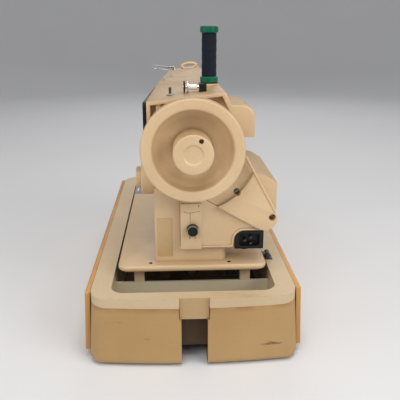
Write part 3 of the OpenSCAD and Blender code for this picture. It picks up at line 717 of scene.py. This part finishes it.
def build_eyelet():
    low, high = corners_of("top_eyelet")
    centre = middle("top_eyelet")
    half_w, half_h = (high.y - low.y) / 2 - 2.6, 4.3
    ring = []
    for k in range(64):
        t = math.tau * k / 64
        ring.append((centre.x + 1.2 * math.cos(t), centre.y + half_w * math.cos(t) * 0.98,
                     high.z - 7.2 + half_h * math.sin(t) + 0.1 * half_w * math.cos(t)))
    outline = fillet([(centre.y - 7, low.z), (centre.y + 7, low.z), (centre.y + 6, low.z + 6.6, 1.5),
                      (centre.y - 6, low.z + 5.8, 1.5), (centre.y - 7, low.z)])[:-1]
    root = prism("eyelet_root", outline, "X", centre.x - 2.2, centre.x + 2.2, edge=0.8)
    dress(join("thread_eyelet", [tube("ring", ring, 2.5, closed=True), root]), "top_eyelet")


def build_winder():
    low, high = corners_of("winder_spindle")
    centre = middle("winder_spindle")
    pin = fillet([(0, low.y), (1.5, low.y, 0.4), (1.5, high.y), (0, high.y)])
    dress(lathe("winder_pin", pin, "Y", centre, steps=32), "winder_spindle", material="chrome")
    sleeve = fillet([(1.5, low.y + 6), (3.0, low.y + 6, 0.6), (3.3, high.y - 7.4, 0.9), (1.5, high.y - 7.4)])
    trim(lathe("winder_sleeve", sleeve, "Y", centre, steps=48), "winder_spindle", "white_plastic")
    discs = (("winder_wheel", low.y + 0.6, "rubber"), ("winder_plate", low.y + 4.4, "chrome"))
    disc_r, hub_r = 6.7, 1.5
    for name, start, material in discs:
        back = start + 1.9
        disc = fillet([(hub_r, start), (disc_r, start, 0.5), (disc_r, back, 0.5), (4.5, back, 0.4),
                       (hub_r, start + 2.6)])
        trim(lathe(name, disc, "Y", centre, steps=64), "winder_spindle", material)
    stop_low, stop_high = corners_of("winder_stop")
    stop_centre = middle("winder_stop")
    stop = fillet([(0, stop_low.z), (1.6, stop_low.z), (1.6, stop_high.z - 6), (1.1, stop_high.z - 5.4),
                   (1.6, stop_high.z - 4.8), (1.6, stop_high.z, 0.6), (0, stop_high.z)])
    dress(lathe("winder_stop_pin", stop, "Z", stop_centre, steps=32), "winder_stop")
    base_z = stop_low.z + 3.2
    collar = fillet([(1.6, base_z), (4.0, base_z, 0.2), (4.0, base_z + 0.9, 0.3), (1.6, base_z + 0.9)])
    trim(lathe("winder_stop_collar", collar, "Z", stop_centre, steps=40), "top_cover", "steel")


# ---- dials ----

def dial(name, node, profile):
    """A knob turned about the Y axis."""
    return dress(lathe(name, profile, "Y", middle(node)), node)


def grip_ribs(name, node, material, count, ring_r, start, end, radius):
    """Thin ribs along Y, in a ring round the dial, that give the fingers a grip."""
    centre = middle(node)
    ribs = []
    for k in range(count):
        t = math.tau * k / count
        x, z = centre.x + ring_r * math.cos(t), centre.z + ring_r * math.sin(t)
        ribs.append(tube(f"rib_{k}", [(x, start, z), (x, end, z)], radius))
    trim(join(name, ribs), node, material)


def build_dials():
    low, high = corners_of("stitch_dial")
    front = low.y
    stem_r = 3.9
    stitch = fillet([(0, front), (13, front, 1.6), (12.6, front + 6.2, 0.4), (19.5, front + 6.6, 1.2),
                     (21, front + 8.2, 1.2), (21, high.y - 6.4), (stem_r, high.y - 6.2), (stem_r, high.y),
                     (0, high.y)])
    dial("stitch_dial_body", "stitch_dial", stitch)
    grip_ribs("stitch_dial_ribs", "stitch_dial", "cream_plastic", 30, 12.75, front + 1.4, front + 6.0, 0.42)
    low, high = corners_of("tension_dial")
    tension = fillet([(0, low.y), (9, low.y, 1.0), (15, low.y + 2.5, 1.2), (15, low.y + 10.5, 1.2),
                      (stem_r, low.y + 11.2), (stem_r, high.y), (0, high.y)])
    dial("tension_dial_body", "tension_dial", tension)
    grip_ribs("tension_dial_grips", "tension_dial", "black_plastic", 36, 14.8, low.y + 3.6, low.y + 9.6, 0.45)


def dress_cad():
    """Every CAD node that still shows gets its real material."""
    for node, obj in frame["nodes"].items():
        obj.data.materials.clear()
        obj.data.materials.append(MATERIALS["dark_steel" if node == "inlet_pins" else SLOT_OF[node]])


dress_cad()
build_softened()
build_base()
build_bed()
build_handwheel()
build_clutch_knob()
build_motor_cover()
build_guard_details()
build_end_cover_details()
build_feed_knob()
build_lamp()
build_reel()
build_eyelet()
build_winder()
build_dials()


# ---- stage and light ----

def add_stage():
    """A pale round floor that curves up into a wall."""
    profile = fillet([(0, 0), (3900, 0, 1500), (3900, 3000)], steps=16)
    floor = lathe("floor", profile, "Z", Vector((0, 0, 0)), steps=96)
    shade(floor, 80)
    n = Nodes("floor")
    n.put(n.shader.inputs["Base Color"], n.mix(n.noise(3), (0.70, 0.70, 0.71, 1), (0.74, 0.74, 0.75, 1)))
    n.shader.inputs["Roughness"].default_value = 0.85
    n.bump(n.noise(500), 0.05, 0.0002)
    floor.data.materials.append(n.material)


def add_light(name, place, aim, size, power, colour=(1, 1, 1)):
    data = bpy.data.lights.new(name, "AREA")
    data.shape = "RECTANGLE"
    data.size, data.size_y = size
    data.energy = power
    data.color = colour
    light = bpy.data.objects.new(name, data)
    light.location = place
    light.rotation_euler = (Vector(aim) - Vector(place)).to_track_quat("-Z", "Y").to_euler()
    bpy.context.scene.collection.objects.link(light)


def add_world():
    world = bpy.data.worlds.new("studio")
    world.use_nodes = True
    world.node_tree.nodes["Background"].inputs[0].default_value = (0.80, 0.82, 0.85, 1)
    world.node_tree.nodes["Background"].inputs[1].default_value = 0.32
    bpy.context.scene.world = world
    bpy.context.scene.view_settings.view_transform = "Standard"


add_stage()
add_world()
add_light("key", (1.5, -0.6, 1.45), (0.1, 0, 0.15), (1.1, 0.8), 10, (1.0, 0.98, 0.95))
add_light("fill", (1.3, 1.4, 1.1), (0.1, 0, 0.15), (1.3, 1.0), 19, (1.0, 0.98, 0.96))
add_light("top", (0.65, 0.1, 1.9), (0.1, 0, 0.15), (0.9, 0.9), 14, (1.0, 0.98, 0.95))
add_light("side", (0.9, -1.7, 0.7), (0.1, 0, 0.1), (1.2, 1.0), 7, (1.0, 0.98, 0.96))
add_light("back", (-1.8, 0.3, 1.5), (0, 0, 0.15), (1.5, 1.2), 9)
